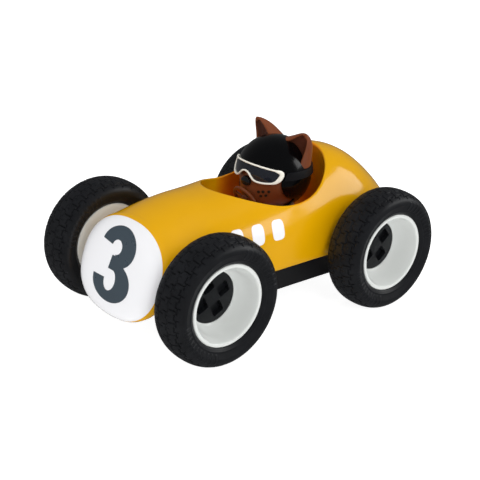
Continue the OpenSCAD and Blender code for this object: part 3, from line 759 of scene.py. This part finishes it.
def sidewall_rib(a, r):
    """Height, 0 to 1, of two opposite fields of short raised radial ribs."""
    turn = (math.degrees(a) + RIB_TURN) % 180
    if not 55 < turn < 125:
        return 0.0
    return groove((turn * 0.16) % 1.0 - 0.5, 0.2, 0.1) * groove(r - 21.7, 1.9, 0.35)


RIM_PROFILE = [
    (9.4, -7.4), (13.2, -7.4), (14.4, -7), (17.1, -7), (17.3, -6.8), (17.3, -5.8), (16.1, -5.1),
    (16.1, 5.1), (17.3, 5.8), (17.3, 6.7), (17.15, 6.9), (16.9, 7), (16.3, 7), (16, 6.95), (15.78, 6.78),
    (15.62, 6.4), (15.45, 5.7), (15.25, 4.9), (15.0, 3.9), (14.68, 2.7), (14.3, 1.5), (13.85, 0.4),
    (13.3, -0.6), (12.7, -1.5), (12.1, -2.2), (11.6, -2.66), (11.3, -2.88), (11.05, -3), (11.05, -6.2),
    (9.4, -6.2)]


def wheel_place(side):
    """Where a wheel part made about +Z goes: on its axle, with the dish facing outward."""
    lo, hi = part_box("tyre_" + side)
    outward = 1 if side.endswith("left") else -1
    return Matrix.Translation((lo + hi) / 2) @ Matrix.Rotation(outward * math.pi / 2, 4, "Y")


def wheels():
    """The four tyres share one mesh, and so do the four rims."""
    tread = tyre_mesh()
    rim_data = sharpen(lathe("rim_form", RIM_PROFILE, 192), 50).data
    tread.materials.append(MAT["tyre_rubber"])
    rim_data.materials.append(MAT["rim_white"])
    for name in ("tyre_form", "rim_form"):
        bpy.data.objects.remove(bpy.data.objects[name])
    for side in WHEEL_SIDES:
        body = side.split("_")[0] + "_axle_set"
        for kind, data, slot in (("tyre", tread, "tyre_rubber"), ("rim", rim_data, "rim_white")):
            piece = bpy.data.objects.new(f"{kind}_{side}_made", data)
            bpy.context.scene.collection.objects.link(piece)
            piece.matrix_world = wheel_place(side)
            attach(piece, body)
            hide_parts(f"{kind}_{side}")


# ------------------------------------------------------------------ driver
def ball_rings(n_lat, n_lon):
    """Directions over a ball in rings from the lowest point to the highest."""
    rings = []
    for i in range(n_lat + 1):
        lat = -math.pi / 2 + math.pi * i / n_lat
        flat, rise = math.cos(lat), math.sin(lat)
        rings.append([Vector((flat * math.cos(lon), flat * math.sin(lon), rise)) for lon in turns(n_lon)])
    return rings


def face_radius(d):
    """Distance from the head centre to the face skin: a ball with a rounded muzzle blended into it."""
    b = d.dot(MUZZLE)
    inside = b * b - MUZZLE.length_squared + MUZZLE_R**2
    reach = b + math.sqrt(inside) if inside > 0 else 0.0
    if reach <= 0:
        return SKULL_R
    share = max(0.0, min(1.0, 0.5 + (reach - SKULL_R) / (4 * FACE_BLEND)))
    radius = SKULL_R + (reach - SKULL_R) * share + FACE_BLEND * share * (1 - share)
    return min(radius, max(SKULL_R, reach) + FACE_BLEND / 2)


def head_form():
    """Face and muzzle as one smooth form with a shallow cleft under the nose."""
    rows = []
    for directions in ball_rings(110, 160):
        row = []
        for d in directions:
            cleft = 0.35 * math.exp(-(d.x / 0.035) ** 2) if d.y < 0 and d.z < -0.2 else 0.0
            row.append(HEAD + d * (face_radius(d) - cleft))
        rows.append(row)
    verts, faces = grid(rows, closed_v=True)
    head = recalc(new_object("face_form", verts, faces), POLE_WELD)
    neck = [(NECK_R * math.cos(a), HEAD.y + NECK_R * math.sin(a)) for a in turns(64)]
    cut(head, prism("neck_cut", neck, NECK_BOTTOM, NECK_TOP))
    sharpen(head, 50)
    return finish_piece(head, "chassis", "fur_brown", MAT["fur_brown"], "driver_head")


def ball_surface(x, z, radius):
    """Point on a ball about the head centre, seen from the front at (x, z)."""
    return HEAD + Vector((x, -math.sqrt(max(0.0, radius**2 - x * x - z * z)), z))


def goggle_path():
    """Closed goggle outline in the face plane: a wide band with an arch over the nose."""
    half = [(0, 3.6), (1.9, 3.1), (3.5, 1.7), (5, 0.5), (7, -0.05), (10.5, -0.1), (13, 0.5), (14.2, 2.4),
            (14.1, 4.5), (12, 5.6), (8, 6.4), (4, 6.8), (0, 6.95)]
    knots = half + [(-x, z) for x, z in reversed(half[1:-1])]
    pts = []
    n = len(knots)
    count = 220
    for i in range(count):
        f = i * n / count
        k = int(f)
        t = f - k
        p = [Vector(knots[(k + d) % n]) for d in (-1, 0, 1, 2)]
        q = 0.5 * ((2 * p[1]) + (p[2] - p[0]) * t + (2 * p[0] - 5 * p[1] + 4 * p[2] - p[3]) * t**2
                   + (3 * p[1] - p[0] - 3 * p[2] + p[3]) * t**3)
        pts.append(q)
    return pts


def goggle_rim(path):
    """Pale moulded frame along the outline, heavier at both outer ends."""
    rows = []
    on_ball = [ball_surface(q.x, q.y, HELMET_R + 0.62) for q in path]
    for i, q in enumerate(path):
        p = on_ball[i]
        tangent = (on_ball[(i + 1) % len(path)] - on_ball[i - 1]).normalized()
        out = (p - HEAD).normalized()
        across = tangent.cross(out).normalized()
        side = max(0.0, min(1.0, (abs(q.x) - 12.2) / 1.9))
        wide, tall = 0.40 + 0.62 * side, 0.46 + 0.12 * side
        rows.append([p + across * (wide * spow(math.cos(a), 0.8)) + out * (tall * spow(math.sin(a), 0.8))
                     for a in turns(14)])
    verts, faces = grid(rows, closed_u=True, closed_v=True)
    return recalc(new_object("goggle_rim", verts, faces))


def goggle_glass(path):
    """Dark lens that fills the outline and bulges a little in the middle."""
    rows = []
    for s in [i / 14 for i in range(15)]:
        row = []
        for q in path:
            centre = Vector((q.x * 0.8, 4.9))
            v = centre + (q - centre) * s
            row.append(ball_surface(v.x, v.y, HELMET_R + 0.34 + 0.16 * (1 - s)))
        rows.append(row)
    verts, faces = grid(rows, closed_v=True)
    return recalc(new_object("goggle_glass", verts, faces))


def goggles():
    path = goggle_path()
    finish_piece(goggle_rim(path), "chassis", "goggle_cream", MAT["goggle_cream"], "goggle_frame")
    finish_piece(goggle_glass(path), "chassis", "lens_dark", MAT["lens_dark"], "goggle_lens")


EAR_BASE = Vector((8.7, 4.0, 10.2))
EAR_TIP = Vector((16.4, 2.3, 20.2))
EAR_ACROSS = Vector((0.76, 0.12, -0.64))
EAR_UP = 28
EAR_ROUND = 56


def ear_cup(t, u):
    """How far the ear is hollowed, at height share t and width share u."""
    reach = max(0.0, 1 - (abs(u) / 0.80) ** 4)
    depth = min(1.0, (t - 0.02) / 0.1) if t > 0.02 else 0.0
    depth *= min(1.0, (0.94 - t) / 0.14) if t < 0.94 else 0.0
    return 0.82 * reach * depth


def ear(sign, side):
    """Pointed ear: a curved shell, cupped at the front, that grows out of the helmet."""
    length = (EAR_TIP - EAR_BASE).length
    axis = (EAR_TIP - EAR_BASE).normalized()
    wide = (EAR_ACROSS - axis * axis.dot(EAR_ACROSS)).normalized()
    deep = axis.cross(wide).normalized()
    if deep.y > 0:
        deep = -deep
    rows = []
    for i in range(EAR_UP + 1):
        t = i / EAR_UP
        w = 8.3 * (1 - t) ** 0.72 * (1 - 0.10 * math.sin(math.pi * t)) + 0.5 * (1 - t**6)
        d = 5.8 * (1 - t) ** 0.75 + 0.5 * (1 - t**8)
        spine = EAR_BASE + axis * (length * t) - deep * (1.2 * math.sin(math.pi * t * 0.9))
        row = []
        for a in turns(EAR_ROUND):
            u, v = math.cos(a), math.sin(a)
            cup = ear_cup(t, u) if v > 0 else 0.0
            row.append(spine + wide * (w * u) + deep * (d * v * (1 - cup) - d * 0.25 * cup))
        rows.append(row)
    rows.append([EAR_BASE + axis * (length + 0.15)] * EAR_ROUND)
    verts, faces = grid(rows, closed_v=True)
    verts = [(HEAD + Vector((sign * v.x, v.y, v.z))) for v in verts]
    obj = recalc(new_object(f"ear_form_{side}", verts, faces))
    finish_piece(obj, "chassis", "fur_brown", MAT["fur_brown"], "ear_" + side)
    obj.data.materials.append(EAR_INNER)
    for f in obj.data.polygons:
        i, j = divmod(min(f.vertices), EAR_ROUND)
        a = 2 * math.pi * (j + 0.5) / EAR_ROUND
        if math.sin(a) > 0 and abs(math.cos(a)) < 0.74 and 0.02 < i / EAR_UP < 0.84:
            f.material_index = 1


def nose_button():
    """Black nose, wider than it is tall, with its middle drawn down a little."""
    centre = HEAD + Vector((0, -16.1, -1.1))
    rows = []
    for directions in ball_rings(32, 48):
        offsets = [Vector((2.65 * d.x, 2.2 * d.y, 2.15 * d.z - 0.35 * d.x**2)) for d in directions]
        rows.append([centre + offset for offset in offsets])
    verts, faces = grid(rows, closed_v=True)
    nose = recalc(new_object("nose_button", verts, faces), POLE_WELD)
    sharpen(nose, 60)
    finish_piece(nose, "chassis", "nose_black", MAT["nose_black"], "driver_nose")


WHISKER_SPOTS = ((6.2, -5.0), (7.7, -4.7), (9.2, -4.3), (6.9, -6.8), (8.4, -6.4))
DOT_R = 0.68


def whisker_dot(name, x, z):
    """Small domed dot on the muzzle, in front of the point (x, z) of the face plane."""
    rise = z - MUZZLE.z
    y = MUZZLE.y - math.sqrt(MUZZLE_R**2 - x * x - rise * rise)
    toward = Vector((x, y, z)).normalized()
    p = toward * face_radius(toward)
    facing = (p - MUZZLE).normalized().to_track_quat("Z", "Y").to_matrix()
    rows = []
    for i in range(7):
        a = math.pi / 2 * i / 6
        r, h = DOT_R * math.sin(a), 0.16 * math.cos(a) + 0.12
        rows.append([HEAD + p + facing @ Vector((r * math.cos(b), r * math.sin(b), h)) for b in turns(20)])
    verts, faces = grid(rows, closed_v=True)
    finish_piece(recalc(new_object(name, verts, faces)), "chassis", "nose_black", WHISKER)


def whiskers():
    for sign, side in ((1, "left"), (-1, "right")):
        for k, (x, z) in enumerate(WHISKER_SPOTS):
            whisker_dot(f"whisker_dot_{side}_{k}", sign * x, z)


# ------------------------------------------------------------------ parts kept from the CAD
def dress_kept():
    """Materials and small rounded edges for the CAD nodes that no piece replaces."""
    slots = {s["node"]: s["material_slot"] for s in frame["record"]["subparts"]}
    kept_bevel = {"chassis_base": 0.3, "helmet": 0.25, "motor_case_left": 0.3, "motor_case_right": 0.3,
                  "cockpit_floor": 0.2, "steering_column": 0.2, "driver_torso": 0.4}
    for node, obj in frame["nodes"].items():
        if obj.hide_render:
            continue
        obj.data.materials.clear()
        obj.data.materials.append(MAT[slots[node]])
        sharpen(obj, 32)
        if node in kept_bevel:
            bevel(obj, kept_bevel[node])
        elif node.startswith("hub_"):
            bevel(obj, 0.3, 45, 3)


# ------------------------------------------------------------------ stage, light and camera
FLOOR_HALF = 4.0


def stage():
    """Plain pale floor that glows a little, so that it stays near white under soft light."""
    mesh = bpy.data.meshes.new("floor")
    corners = [(x * FLOOR_HALF, y * FLOOR_HALF, 0) for x, y in ((-1, -1), (1, -1), (1, 1), (-1, 1))]
    mesh.from_pydata(corners, [], [(0, 1, 2, 3)])
    floor = bpy.data.objects.new("floor", mesh)
    bpy.context.scene.collection.objects.link(floor)
    n = Nodes("floor_white", 0.9, 0.1)
    n.colour(n.mix(n.noise(3, 2), (0.55, 0.55, 0.55), (0.57, 0.57, 0.57)))
    n.shader.inputs["Emission Color"].default_value = (1, 1, 1, 1)
    n.shader.inputs["Emission Strength"].default_value = 0.92
    mesh.materials.append(n.material)
    floor.visible_glossy = False


def area(name, place, target, size, power, mirrored=True):
    """Rectangular light aimed at a target; unmirrored ones leave no reflection on gloss."""
    data = bpy.data.lights.new(name, "AREA")
    data.shape = "RECTANGLE"
    data.size, data.size_y = size
    data.energy = power
    obj = bpy.data.objects.new(name, data)
    bpy.context.scene.collection.objects.link(obj)
    obj.location = place
    obj.rotation_euler = (Vector(target) - Vector(place)).to_track_quat("-Z", "Y").to_euler()
    obj.visible_glossy = mirrored
    return obj


def lights():
    world = bpy.data.worlds.new("studio")
    bpy.context.scene.world = world
    world.use_nodes = True
    world.node_tree.nodes["Background"].inputs["Color"].default_value = (1, 1, 1, 1)
    world.node_tree.nodes["Background"].inputs["Strength"].default_value = 0.13
    target = (0, 0, 0.035)
    area("top_soft", (0.05, 0.05, 0.9), target, (0.9, 0.9), 5.0, mirrored=False)
    area("key_side", (0.75, -0.25, 0.55), target, (0.35, 0.7), 3.5, mirrored=False)
    area("back_soft", (0.5, 0.75, 0.45), target, (0.7, 0.4), 2.5)
    area("front_fill", (-0.3, -0.9, 0.45), target, (0.6, 0.5), 3.0, mirrored=False)


CAMERA_AZIMUTH = math.radians(48.67)
CAMERA_ELEVATION = math.radians(22.38)
CAMERA_ROLL = math.radians(2.56)
CAMERA_PLACE = Vector((0.3576, -0.32205, 0.2243))
CAMERA_LENS = 88.14


def camera():
    """Camera off the front left of the car, aimed by azimuth, elevation and roll."""
    azimuth, elevation, roll = CAMERA_AZIMUTH, CAMERA_ELEVATION, CAMERA_ROLL
    back = Vector((math.sin(azimuth) * math.cos(elevation), -math.cos(azimuth) * math.cos(elevation),
                   math.sin(elevation)))
    right = Vector((math.cos(azimuth), math.sin(azimuth), 0))
    up = back.cross(right)
    across = right * math.cos(roll) + up * math.sin(roll)
    upright = up * math.cos(roll) - right * math.sin(roll)
    data = bpy.data.cameras.new("camera")
    data.sensor_width = 36
    data.lens = CAMERA_LENS
    data.clip_start, data.clip_end = 0.05, 20
    cam = bpy.data.objects.new("camera", data)
    bpy.context.scene.collection.objects.link(cam)
    turn = Matrix((across, upright, back)).transposed().to_4x4()
    cam.matrix_world = Matrix.Translation(CAMERA_PLACE) @ turn
    bpy.context.scene.camera = cam


camera()
stage()
lights()
bpy.context.scene.view_settings.view_transform = "Standard"
body_shell()
cockpit_lip()
vents()
race_digit()
wheels()
head_form()
goggles()
for ear_sign, ear_side in ((1, "left"), (-1, "right")):
    ear(ear_sign, ear_side)
nose_button()
whiskers()
dress_kept()
